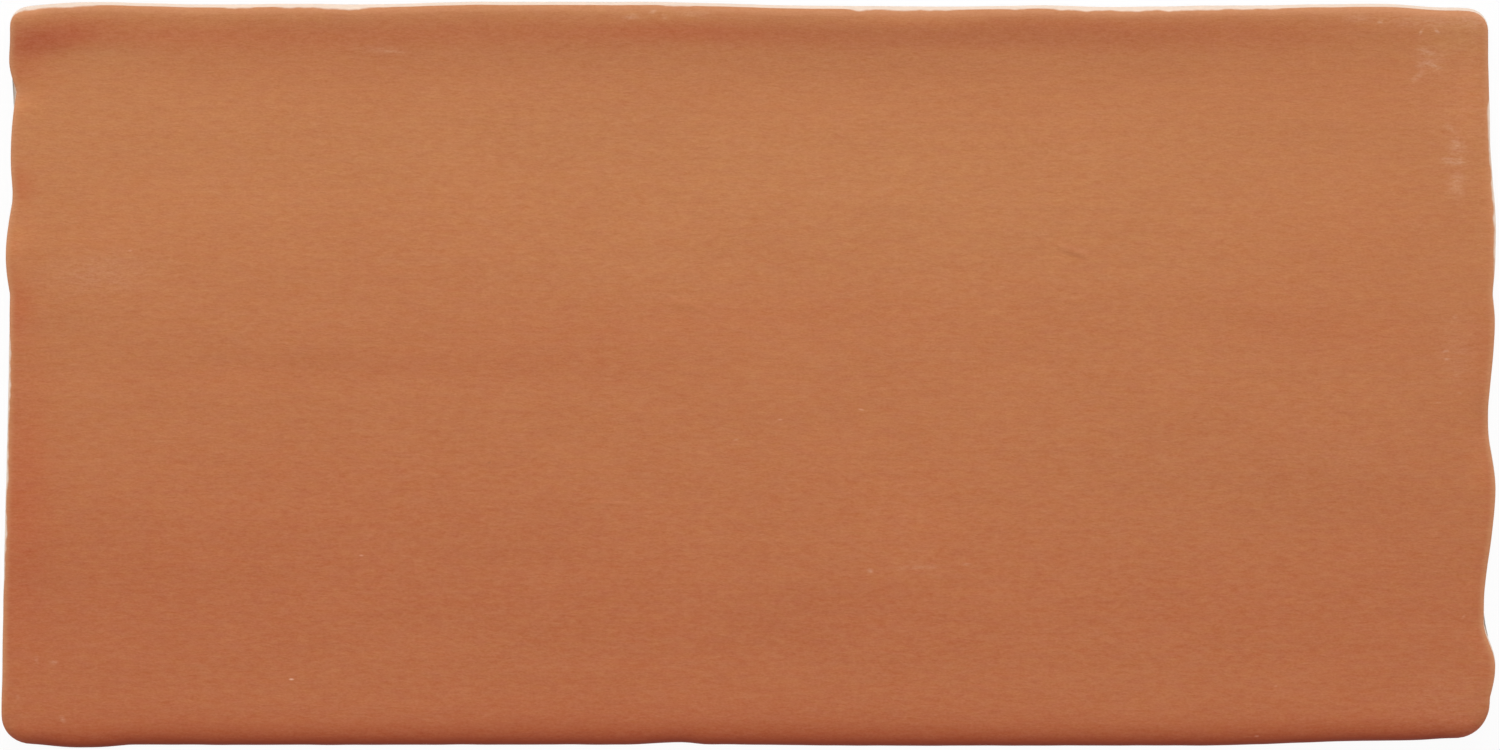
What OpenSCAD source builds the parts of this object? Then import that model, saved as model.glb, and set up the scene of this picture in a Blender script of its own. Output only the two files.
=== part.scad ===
// Glazed wall tile with uneven hand-finished edges, pressed and fired in one piece.
// It lies on its back. The origin is the centre of the back, +X runs along the length,
// +Y across the width and +Z out of the glazed face. All sizes are in millimetres.

/* [Tile] */
// Length over the furthest bulges of the two ends
tile_length = 150; // [100:1:220]
// Width over the furthest bulges of the two long sides
tile_width = 74.8; // [60:0.1:110]
// Thickness at the middle of the face
tile_thickness = 8.5; // [6.5:0.1:12]

/* [Rolled edge] */
// How far in from the front side the face starts to roll over
front_run = 2.4; // [1.5:0.1:4]
// How far down the front side its roll reaches
front_drop = 1.4; // [0.8:0.1:2.2]
// How far in from the rear side and the ends the face starts to roll over
tight_run = 0.8; // [0.5:0.1:2]
// How far down the rear side and the ends their roll reaches
tight_drop = 0.45; // [0.3:0.05:1.5]
// Distance round each front corner over which the front roll tightens
roll_blend = 10; // [8:1:30]
// How far each long side flares out from the roll down to the back
side_flare = 0.2; // [0:0.05:0.8]
// How far each end flares out from the roll down to the back
end_flare = 0.2; // [0:0.05:0.8]
// Size of the chamfer round the back
back_chamfer = 0.4; // [0.2:0.1:1]

/* [Corners] */
// Corner radius at the left end of the rear side
rear_left_radius = 1.9; // [1.2:0.1:6]
// Corner radius at the right end of the rear side
rear_right_radius = 2.2; // [1.2:0.1:6]
// Corner radius at the right end of the front side
front_right_radius = 3.6; // [1.2:0.1:6]
// Corner radius at the left end of the front side
front_left_radius = 3.1; // [1.2:0.1:6]

/* [Face] */
// Rise of the middle of the face over its sides
crown = 0.3; // [0:0.05:0.8]
// Height of the soft lip inside the rear side
rear_lip = 0.3; // [0:0.02:0.4]
// Height of the soft lip inside the front side
front_lip = 0.06; // [0:0.02:0.4]
// Distance over which a lip falls away to the face
lip_fall = 8; // [4:0.5:12]
// Height of the broad swells across the face
swell_height = 0.04; // [0:0.01:0.1]
// Distance from one swell to the next
swell_pitch = 23; // [12:1:40]

/* [Uneven edges] */
// How far the left end leans in from its front corner to its rear corner
left_lean = 1; // [0:0.1:2]
// Depth of the edge waves, as a multiple of the depths listed below
wave_depth = 1; // [0:0.1:1.5]
// Fall of the rim at a dip in an end, as a multiple of the dip's depth
rim_follow = 0.25; // [0:0.1:1]
// How far in from an end the fall of the rim dies out
rim_reach = 3; // [1.5:0.5:8]

/* [Keyed back] */
// Width of a keying groove
groove_width = 4; // [2:0.1:6]
// Depth of a keying groove
groove_depth = 0.8; // [0.4:0.1:1.5]
// Width of the rib left between two grooves
rib_width = 3.2; // [2:0.1:6]
// Least width of the plain border round the grooves
groove_border = 8; // [5:0.5:14]

/* [Hidden] */

half_length = tile_length / 2;
half_width = tile_width / 2;
// The same at the top of the sides, where the roll begins
top_half = [half_length - end_flare, half_width - side_flare];

// Each side's waves run from left to right, or from front to rear on the ends. An entry
// is [place, inset, sharpness]: the place is a share of the half side, from -1 to 1, the
// inset is in millimetres, and a dip is round at sharpness 0 and a cusp at 1.
rear_waves = [
    [-0.98, 0.45, 1], [-0.89, 0.02, 0], [-0.73, 0.25, 0], [-0.61, 0.19, 0],
    [-0.53, 0.25, 0], [-0.36, 0, 0], [-0.15, 0.01, 0], [0.12, 0.41, 0],
    [0.28, 0.48, 0], [0.4, 0.36, 0], [0.49, 0.52, 0], [0.66, 0.37, 0],
    [0.85, 0.2, 0], [0.95, 0.58, 0], [0.98, 0.68, 0]
];
front_waves = [
    [-0.98, 0.4, 0], [-0.89, 0, 0], [-0.825, 0.3, 1], [-0.17, 0.28, 0],
    [-0.09, 0.51, 0], [-0.05, 0.3, 0], [0.15, 0.17, 0], [0.59, 0.18, 0],
    [0.87, 0.68, 0], [0.96, 0.93, 0]
];
left_waves = [
    [-0.93, -0.05, 0], [-0.8, 0, 0], [0.18, 0.33, 0], [0.22, 0.33, 1], [0.33, -0.15, 0],
    [0.47, 0.44, 1], [0.5, 0.44, 1], [0.61, 0.22, 0], [0.773, 0.52, 1],
    [0.86, -0.11, 0], [0.92, -0.05, 0]
];
right_waves = [
    [-0.95, 0.67, 0], [-0.884, 0.55, 1], [-0.8, 0.03, 0], [-0.672, 1.13, 0],
    [-0.65, 1.13, 0], [-0.31, 0.1, 0], [-0.13, 0.77, 0], [0.14, 0.1, 0],
    [0.22, 0.31, 1], [0.38, 0, 0], [0.63, 0.58, 0.5], [0.91, 0.78, 0]
];

// Grid of the face: lines across the roll, then across the rim, then over the middle
roll_steps = 5;
rim_steps = 4;
middle_steps_x = 44;
middle_steps_y = 58;
rim_width = front_run + rim_reach; // reach of the close lines along the sides
swell_slant = 0.12; // how far the swells run out of line with the length

glaze_colour = [0.74, 0.47, 0.31];

// 1 at 0, falling smoothly to 0 at 1
function fade(t) = let (u = min(max(t, 0), 1)) 1 - u * u * (3 - 2 * u);

// 1 at 0, falling at once and dying out at 1
function slump(t) = pow(1 - min(max(t, 0), 1), 2);

// Inset of a side at a place along it. A crest is always round, a dip as sharp as it says.
function inset_at(waves, place) =
    let (
        last = len(waves) - 1,
        at = min(max(place, waves[0][0]), waves[last][0]),
        i = max([0, for (k = [1 : last - 1]) if (waves[k][0] <= at) k]),
        along = (at - waves[i][0]) / (waves[i + 1][0] - waves[i][0]),
        falling = waves[i][1] < waves[i + 1][1],
        dip = falling ? waves[i + 1] : waves[i],
        crest = falling ? waves[i] : waves[i + 1],
        t = falling ? 1 - along : along,
        rise = (1 - dip[2]) * (1 - cos(180 * t)) / 2 + dip[2] * sin(90 * t)
    )
    wave_depth * (dip[1] + (crest[1] - dip[1]) * rise);

// Radius of the corner that a point lies nearest to
function corner_radius(x, y) =
    x < 0
        ? (y < 0 ? front_left_radius : rear_left_radius)
        : (y < 0 ? front_right_radius : rear_right_radius);

// A rectangle of the given half sizes gets round corners: nested squares about a corner's
// centre turn into nested arcs, so that a point keeps its distance from the edge.
function rounded(x, y, half, corner_cut) =
    let (
        radius = max(corner_radius(x, y) - corner_cut, 0.5),
        out_x = abs(x) - (half.x - radius),
        out_y = abs(y) - (half.y - radius),
        in_corner = out_x > 0 && out_y > 0,
        pull = in_corner ? 1 - max(out_x, out_y) / norm([out_x, out_y]) : 0
    )
    [sign(x) * (abs(x) - out_x * pull), sign(y) * (abs(y) - out_y * pull)];

// Moves a point of the even tile in with the waves of the sides that it is near
function uneven(p) =
    let (
        place_x = p.x / half_length,
        place_y = p.y / half_width,
        lean = left_lean * (1 + place_y) / 2,
        left = inset_at(left_waves, place_y) + lean,
        right = inset_at(right_waves, place_y),
        front = inset_at(front_waves, place_x),
        rear = inset_at(rear_waves, place_x)
    )
    [
        p.x + left * max(-place_x, 0) - right * max(place_x, 0),
        p.y + front * max(-place_y, 0) - rear * max(place_y, 0)
    ];

// Lines of the grid over a side's roll and rim, as distances from the side
function edge_lines(run) = concat(
    [for (k = [0 : roll_steps]) run * (1 - cos(90 * k / roll_steps))],
    [for (k = [1 : rim_steps]) run + (rim_width - run) * k / rim_steps]
);

// Lines of the grid along one axis, from a side with the given roll to one with a tight roll
function grid_lines(half, first_run, middle_steps) =
    let (
        first = edge_lines(first_run),
        last = edge_lines(tight_run),
        reach = half - rim_width
    )
    concat(
        [for (d = first) d - half],
        [for (k = [1 : middle_steps - 1]) reach * (2 * k / middle_steps - 1)],
        [for (k = [len(last) - 1 : -1 : 0]) half - last[k]]
    );

lines_x = grid_lines(top_half.x, tight_run, middle_steps_x);
lines_y = grid_lines(top_half.y, front_run, middle_steps_y);

// Fall of the face over the roll: a quarter ellipse, wide in front and tight elsewhere
function roll_fall(x, y) =
    let (
        from_end = top_half.x - abs(x),
        from_front = top_half.y + y,
        share_front = fade(0.5 + (from_front - min(from_end, roll_blend)) / roll_blend),
        run = tight_run + (front_run - tight_run) * share_front,
        drop = tight_drop + (front_drop - tight_drop) * share_front,
        from_edge = min(from_end, top_half.y - abs(y)),
        turn = min(from_edge / run, 1)
    )
    drop * (1 - sqrt(1 - pow(1 - turn, 2)));

// Height of the face at a point of the even tile
function face_height(x, y) =
    let (
        place_x = x / half_length,
        place_y = y / half_width,
        dome = crown * (1 - (1 - place_x * place_x) * (1 - place_y * place_y)),
        lips = rear_lip * slump((top_half.y - y - tight_run) / lip_fall)
            + front_lip * slump((top_half.y + y - front_run) / lip_fall),
        swell = swell_height * cos(360 * (y + swell_slant * x) / swell_pitch)
            * (1 - place_y * place_y),
        rim = rim_follow * (
            inset_at(left_waves, place_y) * fade((top_half.x + x) / rim_reach)
            + inset_at(right_waves, place_y) * fade((top_half.x - x) / rim_reach)
        )
    )
    tile_thickness - swell_height - dome + lips + swell - rim - roll_fall(x, y);

function face_point(x, y) =
    let (p = uneven(rounded(x, y, top_half, side_flare))) [p.x, p.y, face_height(x, y)];

// Outline of the tile, counted anticlockwise from the front left corner, as grid places
last_x = len(lines_x) - 1;
last_y = len(lines_y) - 1;
rim_places = concat(
    [for (i = [0 : last_x - 1]) [i, 0]],
    [for (j = [0 : last_y - 1]) [last_x, j]],
    [for (i = [last_x : -1 : 1]) [i, last_y]],
    [for (j = [last_y : -1 : 1]) [0, j]]
);
rim_count = len(rim_places);

// The widest outline, drawn in all round by a distance, at a height
function wall_ring(shrink, z) = [
    for (place = rim_places)
        let (
            half = [half_length - shrink, half_width - shrink],
            x = lines_x[place[0]] * half.x / top_half.x,
            y = lines_y[place[1]] * half.y / top_half.y,
            p = uneven(rounded(x, y, half, shrink))
        )
        [p.x, p.y, z]
];

// The face, the walls and the back as one closed skin of triangles
module pressed_body() {
    wall_rings = [wall_ring(0, back_chamfer), wall_ring(back_chamfer, 0)];
    points = concat(
        [for (j = [0 : last_y], i = [0 : last_x]) face_point(lines_x[i], lines_y[j])],
        [for (ring = wall_rings, p = ring) p],
        [[0, 0, 0]]
    );
    function at(i, j) = j * (last_x + 1) + i;
    first_wall = (last_x + 1) * (last_y + 1);
    function rim(k, ring) =
        let (n = k % rim_count)
        ring < 0
            ? at(rim_places[n][0], rim_places[n][1])
            : first_wall + ring * rim_count + n;
    face = [
        for (j = [0 : last_y - 1], i = [0 : last_x - 1]) each [
            [at(i, j), at(i + 1, j + 1), at(i + 1, j)],
            [at(i, j), at(i, j + 1), at(i + 1, j + 1)]
        ]
    ];
    walls = [
        for (ring = [-1 : len(wall_rings) - 2], k = [0 : rim_count - 1]) each [
            [rim(k, ring), rim(k + 1, ring), rim(k + 1, ring + 1)],
            [rim(k, ring), rim(k + 1, ring + 1), rim(k, ring + 1)]
        ]
    ];
    base_ring = len(wall_rings) - 1;
    back = [
        for (k = [0 : rim_count - 1])
            [rim(k, base_ring), rim(k + 1, base_ring), len(points) - 1]
    ];
    polyhedron(points, concat(face, walls, back), convexity = 4);
}

groove_pitch = groove_width + rib_width;
groove_length = tile_length - 2 * groove_border;
// An even number of grooves, so that a rib runs down the middle of the back
groove_count = 2 * floor((tile_width - 2 * groove_border + rib_width) / groove_pitch / 2);

// One stopped groove with round ends, cut up into the back
module keying_groove() {
    straight = groove_length - groove_width;
    translate([0, 0, -1])
        linear_extrude(groove_depth + 1) {
            square([straight, groove_width], center = true);
            for (side = [-1, 1])
                translate([side * straight / 2, 0])
                    circle(d = groove_width, $fn = 48);
        }
}

module tile() {
    color(glaze_colour)
        difference() {
            pressed_body();
            for (k = [0 : groove_count - 1])
                translate([0, (k - (groove_count - 1) / 2) * groove_pitch, 0])
                    keying_groove();
        }
}

tile();
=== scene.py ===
"""A glazed wall tile with uneven edges, lying on its back in a plain studio.

The tile is one closed surface. Its face, its roll, its flared sides and its keyed back are worked
out as whole arrays on a grid, with lengths in millimetres until the mesh is made.
"""

import math
from types import SimpleNamespace

import bpy
import numpy as np
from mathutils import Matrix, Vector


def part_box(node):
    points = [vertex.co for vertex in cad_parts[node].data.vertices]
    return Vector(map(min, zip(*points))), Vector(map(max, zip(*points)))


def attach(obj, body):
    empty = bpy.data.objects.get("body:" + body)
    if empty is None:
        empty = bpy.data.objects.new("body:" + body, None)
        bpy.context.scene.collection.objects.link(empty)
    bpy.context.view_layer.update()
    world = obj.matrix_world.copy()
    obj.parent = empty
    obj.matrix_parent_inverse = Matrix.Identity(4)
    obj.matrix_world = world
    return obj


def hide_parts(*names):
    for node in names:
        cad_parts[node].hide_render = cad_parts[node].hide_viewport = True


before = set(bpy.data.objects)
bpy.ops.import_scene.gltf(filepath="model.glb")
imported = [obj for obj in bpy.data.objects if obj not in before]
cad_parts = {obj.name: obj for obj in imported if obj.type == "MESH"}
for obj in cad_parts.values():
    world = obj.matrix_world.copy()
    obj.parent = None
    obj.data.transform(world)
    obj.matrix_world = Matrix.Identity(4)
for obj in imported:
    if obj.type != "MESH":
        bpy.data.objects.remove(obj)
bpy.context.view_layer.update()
TILE_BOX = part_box("tile")

bl_info = {
    "name": "Glazed Wall Tile",
    "version": (1, 0, 0),
    "blender": (4, 5, 0),
    "location": "3D View > Sidebar > Wall Tile",
    "description": "Makes a glazed wall tile with uneven edges, and a plain studio for it",
    "category": "Add Mesh",
}

MM = 0.001  # a millimetre, in Blender's metres

# Steps of the grid: across the roll, then across the rim, then over the middle both ways, and
# down the side
ROLL_STEPS, RIM_STEPS = 13, 8
MIDDLE_STEPS_X, MIDDLE_STEPS_Y = 190, 150
WALL_STEPS = 7

# Finer points of the shape, with lengths in millimetres
SWELL_SLANT = 0.12  # how far the swells run out of line with the length
CORNER_BLEND = 4  # distance round a rear corner over which the roll tightens
LEAST_RADIUS = 0.5  # what is left of a corner's radius where a flare or a chamfer cuts it back
CHAMFER_FULLNESS = 2.6  # the middle of the chamfer lies at its height divided by this
GROOVE_SHOULDER = 0.5  # run of the drafted side of a groove
GROOVE_END_CLOSENESS = 3  # how much closer the back's lines lie at the ends of the grooves
GROOVE_SIDE_CLOSENESS = 5  # and at their sides
CROWDING = 0.18  # square of the reach of the bell curve by which that closeness falls off
CROWDING_STEPS = 6000  # steps by which it is summed up

# Random waves, as how many there are, the shortest of them and the longest, in millimetres
RIPPLE_WAVES = (9, 2.5, 9)
FACE_WAVES = (30, 4, 12)
FACE_STRETCH = 2.5  # how much longer the waves of the face are along the tile than across it
RIPPLE_MEAN, RIPPLE_SWING = 0.5, 0.25  # as shares of the ripple's full depth
LEFT_SEED, RIGHT_SEED, FRONT_SEED, REAR_SEED, FACE_SEED = range(1, 6)

# Each side's waves run from left to right, or from front to rear on the ends. An entry is
# [place, inset, sharpness]: the place is a share of the half side, from -1 to 1, the inset is in
# millimetres, and a dip is round at sharpness 0 and a cusp at 1.
REAR_WAVES = [
    [-0.98, 0.45, 1], [-0.89, 0.02, 0], [-0.73, 0.25, 0], [-0.61, 0.19, 0],
    [-0.53, 0.25, 0], [-0.36, 0, 0], [-0.15, 0.01, 0], [0.12, 0.41, 0],
    [0.28, 0.48, 0], [0.4, 0.36, 0], [0.49, 0.52, 0], [0.66, 0.37, 0],
    [0.85, 0.2, 0], [0.95, 0.58, 0], [0.98, 0.68, 0],
]
FRONT_WAVES = [
    [-0.98, 0.4, 0], [-0.89, 0, 0], [-0.825, 0.27, 1], [-0.6, 0.25, 0],
    [-0.4, 0.27, 0], [-0.17, 0.28, 0],
    [-0.09, 0.51, 0], [-0.05, 0.3, 0], [0.15, 0.17, 0], [0.59, 0.18, 0],
    [0.87, 0.68, 0], [0.96, 0.93, 0],
]
LEFT_WAVES = [
    [-0.93, 0, 0], [-0.8, 0.05, 0], [0.18, 0.33, 0], [0.22, 0.33, 1], [0.33, -0.15, 0],
    [0.47, 0.44, 1], [0.5, 0.44, 1], [0.61, 0.22, 0], [0.773, 0.7, 1],
    [0.86, -0.05, 0], [0.92, 0, 0],
]
RIGHT_WAVES = [
    [-0.95, 0.67, 0], [-0.884, 0.55, 1], [-0.8, 0.03, 0], [-0.672, 1.18, 0],
    [-0.65, 1.18, 0], [-0.31, 0.03, 0], [-0.13, 0.77, 0], [0.14, 0.1, 0],
    [0.22, 0.31, 1], [0.38, 0, 0], [0.63, 0.58, 0.5], [0.91, 0.78, 0],
]

# How far the glaze runs down each side from its top, in millimetres, in the same form. A run under
# 0 stops short of the top, on the roll.
REAR_GLAZE = [
    [-0.985, -0.05, 0], [-0.91, -0.12, 0], [-0.84, 0.41, 0], [-0.72, 0.07, 0],
    [-0.535, -0.14, 0], [-0.47, 0.12, 0], [-0.2, 0.14, 0], [-0.1, -0.02, 0],
    [0, 0.27, 0], [0.1, 0.15, 0], [0.17, -0.105, 0], [0.24, -0.005, 0],
    [0.34, 0.02, 0], [0.46, -0.13, 0], [0.62, -0.12, 0], [0.7, -0.09, 0],
    [0.78, 0.22, 0], [0.85, 0.12, 0], [0.94, 0.3, 0], [0.985, 0.3, 0],
]
FRONT_GLAZE = [
    [-1, 4.2, 0], [-0.6, 5.2, 0], [-0.2, 4.4, 0], [0.05, 5.6, 0], [0.4, 4.2, 0], [1, 4.8, 0],
]
LEFT_GLAZE = [
    [-1, 4.2, 0], [-0.72, 0.3, 0], [-0.5, -0.11, 0], [0.05, -0.15, 0], [0.3, 0.9, 0],
    [0.6, 0.6, 0], [0.9, 0.9, 0], [0.985, 0.15, 0],
]
RIGHT_GLAZE = [
    [-1, 4.8, 0], [-0.75, 1, 0], [-0.4, 0.7, 0], [0, 0.9, 0], [0.25, -0.1, 0], [0.7, -0.2, 0],
    [0.9, 0.7, 0],
]

# Low rises and hollows of the face, as [x, y, half length, half width, height, turn]: lengths in
# millimetres, the turn in degrees, and a height under 0 for a hollow.
FACE_FORMS = [
    [-50, 0.3, 42, 1.7, -0.07, -0.5],
    [52, 4.2, 14, 1.6, -0.05, -9],
    [-57, -20.5, 18, 3.5, -0.06, 0],
    [10, -24, 12, 3, -0.05, 0],
    [45, -8, 12, 8, -0.05, 10],
    [-70, 33.8, 4, 1.6, 0.1, 0],
]

# Places where the glaze lies thick, in the same form, with a strength for the height. Under 0 it
# lies thinner there.
POOLS = [
    [-71.5, 34.1, 5, 1.7, 0.55, 4],
    [25, 33.5, 80, 8, 0.19, 0],
    [-52, 32.5, 26, 4, 0.12, 0],
    [62, 18, 14, 15, 0.09, 0],
    [-12, -17, 18, 6, 0.05, 0],
    [13, -24, 8, 4, 0.07, 0],
    [63, -16, 7, 5, 0.06, 0],
    [-32, 1, 26, 2, 0.08, 1.5],
    [-66, 32.6, 5, 2, -0.07, 0],
    [-2, 6, 22, 2.4, 0.08, 3],
    [56, 5, 14, 2.6, 0.1, -8],
    [-45, -8, 40, 22, 0.05, 0],
    [-62, 33.8, 9, 0.9, 0.05, 4],
    [66, 34.3, 9, 1.8, -0.15, 0],
    [32, 35.7, 16, 0.9, 0.12, 0],
    [-6, 34.6, 9, 0.9, 0.16, 0],
    [-73, -12, 2.6, 14, 0.24, 0],
    [-74.2, 6.8, 1.8, 3.2, 0.3, 0],
    [-74, 19.4, 1.4, 1.8, 0.28, 0],
    [-74, 30.6, 1.4, 1, 0.1, 0],
    [-73, 31.6, 3, 2.4, 0.14, 0],
    [-12, 36.1, 13, 0.9, -0.09, 0],
    [16, 36.1, 10, 0.9, -0.06, 0],
    [73.3, 4, 1.6, 5, 0.09, 0],
    [74.2, -10, 0.7, 9, 0.06, 0],
]

# Painted shade: places made darker to stand for shading, partly where the firing has darkened the
# glaze, in the same form, with a strength for the height. Under 0 it is painted light, paler there.
SMOKE_AND_SHADE = [
    [-72.5, 34, 3.6, 1.8, 0.16, 4],
    [-66, 33.6, 5.4, 1.6, 0.06, 0],
    [-68, 34.8, 2.4, 0.7, 0.04, 0],
    [-72.8, 36.8, 1.1, 0.5, -0.09, 0],
    [-12, 36.1, 7.8, 0.5, -0.06, 0],
    [16, 36.1, 6, 0.5, -0.08, 0],
    [0, -34.8, 96, 1.1, 0.05, 0],
    [0, 33.2, 96, 3.6, 0.09, 0],
    [71, -3, 7.2, 27, 0.025, 0],
    [26, 34.8, 37.2, 1.3, 0.095, 0],
    [-42, 35.1, 13, 1.2, 0.045, 0],
    [68, 34, 7.2, 1.6, -0.01, -4],
    [67, 36.2, 5.4, 0.7, -0.05, 0],
    [-41, 35.5, 3, 0.9, 0.03, 0],
    [-73, 14.5, 1.8, 2.1, -0.05, 0],
    [-73, 28, 1.6, 1.2, -0.05, 0],
    [-64, 14, 8.4, 1.8, -0.02, 0],
    [72.5, 28, 1.2, 3.6, -0.04, 0],
    [74.4, 17, 0.5, 5.4, -0.05, 0],
    [73.5, -21, 1, 3.6, -0.04, 0],
    [10, 31, 60, 6.6, 0.03, 0],
    [-42, 1.7, 25.2, 1.4, 0.035, -3.3],
    [-15, 24.8, 10.8, 3, 0.035, 0],
    [60, 24.3, 12, 3, 0.04, -3],
    [-61, 17, 10.8, 3, -0.035, 0],
    [-30, 17, 18, 3.6, -0.03, 0],
    [17, -13.5, 10.8, 5.4, -0.035, -30],
    [55, -12, 15.6, 5.4, 0.035, -12],
    [-26, -17, 12, 3.6, 0.03, 0],
    [7, -24, 10.8, 4.8, 0.03, 0],
    [55, 3, 9.6, 3, 0.03, -10],
    [-71, 5.3, 4, 1.2, 0.05, 0],
    [-72, -20.5, 4, 3, 0.045, 0],
    [-74, 13.4, 0.9, 1.2, -0.1, 0],
    [-74.2, 27.5, 0.8, 1.1, -0.1, 0],
    [73, 28.5, 4, 4, -0.03, 0],
    [73.5, -9.5, 1.5, 2.5, -0.04, 0],
    [74, -3.3, 0.8, 1.2, 0.06, 0],
]

# How thin the glaze is drawn over the rear rim, as [place, strength, 0] from left to right
REAR_THINNESS = [
    [-1, 0.9, 0], [-0.92, 0.5, 0], [-0.5, 0.48, 0], [-0.2, 0.5, 0], [0.04, 0.6, 0],
    [0.14, 0.72, 0], [0.24, 0.82, 0], [0.34, 0.66, 0], [0.42, 0.64, 0], [0.5, 0.85, 0],
    [0.58, 0.82, 0], [0.68, 0.68, 0], [0.86, 0.9, 0], [0.95, 1, 0],
]

# Fine wrinkles of the glaze, as [x, y, half length, half width, height, turn]
WRINKLES = [
    [-6.6, 7.3, 2.2, 0.75, 0.07, -3],
    [-5, 6.8, 1.8, 0.5, 0.03, -20],
    [32.6, 12.5, 2.4, 0.65, 0.1, -18],
    [32.8, 7.6, 2, 0.6, 0.03, 0],
    [-14, -12.7, 3.4, 0.35, 0.028, -1.5],
]

# Rubbed marks where the glaze looks dusty, in the same form, with a strength for the height. These,
# the wrinkles and the specks are ovals that fade out smoothly at the given half sizes.
MARKS = [
    [67.3, 34.5, 0.55, 0.25, 0.6, 60], [68.9, 34.5, 0.6, 0.25, 0.5, -45],
    [67.6, 35.5, 7, 1.1, 0.19, -2], [61, 35.8, 2.2, 0.8, 0.19, 0], [63.2, 35.5, 0.4, 0.3, 0.6, 0],
    [72.5, 35.6, 2.6, 1.6, 0.18, 0], [67.9, 32.4, 1.7, 0.45, 0.26, -18],
    [68.2, 31.6, 2.4, 2.4, 0.13, 0], [67.5, 31.3, 1.1, 0.4, 0.2, 20],
    [68.6, 31.1, 1.3, 0.4, 0.28, -30], [66.9, 30, 1.1, 0.45, 0.3, 45],
    [70.2, 24.9, 1.2, 0.5, 0.2, -30], [70.7, 23.4, 0.9, 0.7, 0.14, 0],
    [70.6, 21.5, 2.1, 0.6, 0.4, -4], [70.9, 22.8, 1.4, 1.8, 0.2, 0],
    [70.8, 19.1, 1.4, 1.9, 0.24, 0], [71.1, 19.8, 0.8, 1.2, 0.12, 0],
    [69.7, 2.5, 0.55, 0.2, 0.5, 10], [70, 1.7, 0.6, 0.2, 0.45, -10],
    [71, 0.3, 0.7, 0.6, 0.18, 0], [71.2, -1.7, 0.4, 0.18, 0.3, -20],
    [69, -2.6, 0.45, 0.15, 0.28, 0], [70.7, 6, 0.4, 0.4, 0.2, 0],
    [-11.7, 36, 1.3, 0.55, 0.32, 10], [-9.5, 36.5, 0.6, 0.4, 0.42, 30],
    [-8.4, 36, 0.5, 0.4, 0.28, -20], [-5.6, 36.3, 2.4, 0.5, 0.2, 0],
    [-36.8, 32.7, 4.2, 0.6, 0.12, -4], [-35.4, 32.5, 2.2, 0.22, 0.15, -2],
    [12.2, -19.4, 0.5, 0.4, 0.4, 0], [17.2, -19.1, 4, 0.4, 0.2, 2],
    [21.8, -18.8, 0.9, 0.22, 0.24, 0], [-69.5, -28.6, 0.65, 0.35, 0.27, 0],
    [-71.2, -28.4, 0.35, 0.9, 0.15, 0], [-68.6, -34.3, 0.4, 0.6, 0.34, 30],
    [-73.1, -32.1, 0.4, 0.4, 0.18, 0], [71.6, -24, 0.45, 0.2, 0.22, 40],
    [-65, 10.4, 9, 3, 0.13, 4], [60, -8, 8, 4, 0.035, 0], [71, 3, 3, 5, 0.08, 0],
    [74.4, 17, 1, 9, 0.035, 0], [71.5, 28, 8, 11, 0.05, 0], [69.5, -33, 8, 5, 0.06, 0],
]

# Specks of bare body in the glaze, in the same form. Under 0 the speck is a dark one.
SPECKS = [
    [-45.7, -30.3, 0.36, 0.14, 1, 0], [11.3, -3.3, 0.5, 0.15, 0.36, -12],
    [3.2, -4.3, 0.4, 0.14, 0.3, 0], [-1.2, -6.3, 0.45, 0.15, 0.25, 8],
    [-61.8, 12.6, 0.35, 0.16, 0.3, 0], [-25.9, -8.6, 0.3, 0.16, -0.45, 10],
    [-38.7, -17.9, 0.35, 0.14, 0.42, 0], [50.9, -36, 0.35, 0.14, 0.35, 0],
    [52.8, -31, 0.3, 0.14, 0.2, 0],
]

# How the glaze has flowed, and where the roll is painted lighter or darker as light and shade, with
# distances in millimetres and weights as shares of the full colour
HOLLOW_LINE, HOLLOW_REACH, HOLLOW_WEIGHT = 2.7, 2.4, 0.18  # pool in the hollow inside the rear lip
HOLLOW_END, HOLLOW_RISE = 7.5, 3  # how far off an end that is full, after such a rise
FRONT_POOL = 1.6  # distance over which the pool of the front roll falls off
REAR_THIN = 1.2  # reach of the thin glaze over the rear rim
END_THIN_AND_LIT, END_THIN_AND_LIT_WEIGHT = 0.78, 0.8  # reach and strength of the paler glaze over the ends: thin glaze and painted light
END_THIN_AND_LIT_RISE = 9  # distance from the front side over which that sets in
DARK_BROAD, DARK_CLOSE, DARK_MOST = 0.36, 0.27, 0.5  # painted shade over the front roll, partly the darkening of its pool
UNGLAZED = -9.0  # painted on the back, which no glaze reaches

# Noises of the glaze and the body, as the sizes of their features along X, Y and Z in millimetres,
# then detail, roughness, and a shift that sets each apart from the others
NOISES = {
    "patches": ((4.5, 1.3, 4.5), 3, 0.6, 0),
    "drift": ((50, 20, 50), 1, 0.5, 7),
    "mottle": ((1.1, 0.5, 1.1), 1, 0.5, 5),
    "flecks": ((2, 0.9, 2), 1, 0.5, 9),
    "streaks": ((22, 0.6, 22), 1, 0.5, 13),
    "grain": ((0.3, 0.17, 0.3), 1, 0.5, 11),
    "haze": ((1, 0.26, 1), 2, 0.6, 17),
    "cloud": ((9, 3.5, 9), 2, 0.6, 23),
    "body_grain": ((0.5, 0.5, 0.5), 4, 0.7, 21),
    "body_patch": ((9, 9, 9), 2, 0.5, 31),
    "glaze_line": ((2.2, 2.2, 9), 2, 0.5, 41),
    "bend": ((1.6, 1.1, 1.6), 1, 0.5, 51),
}
CREPE_NOISE = ((1.7, 0.26, 1.7), 3, 0.65, 3)
CREPE_BEND = 0.9  # how far the bend moves the crepe's threads across the tile, in millimetres
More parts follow.
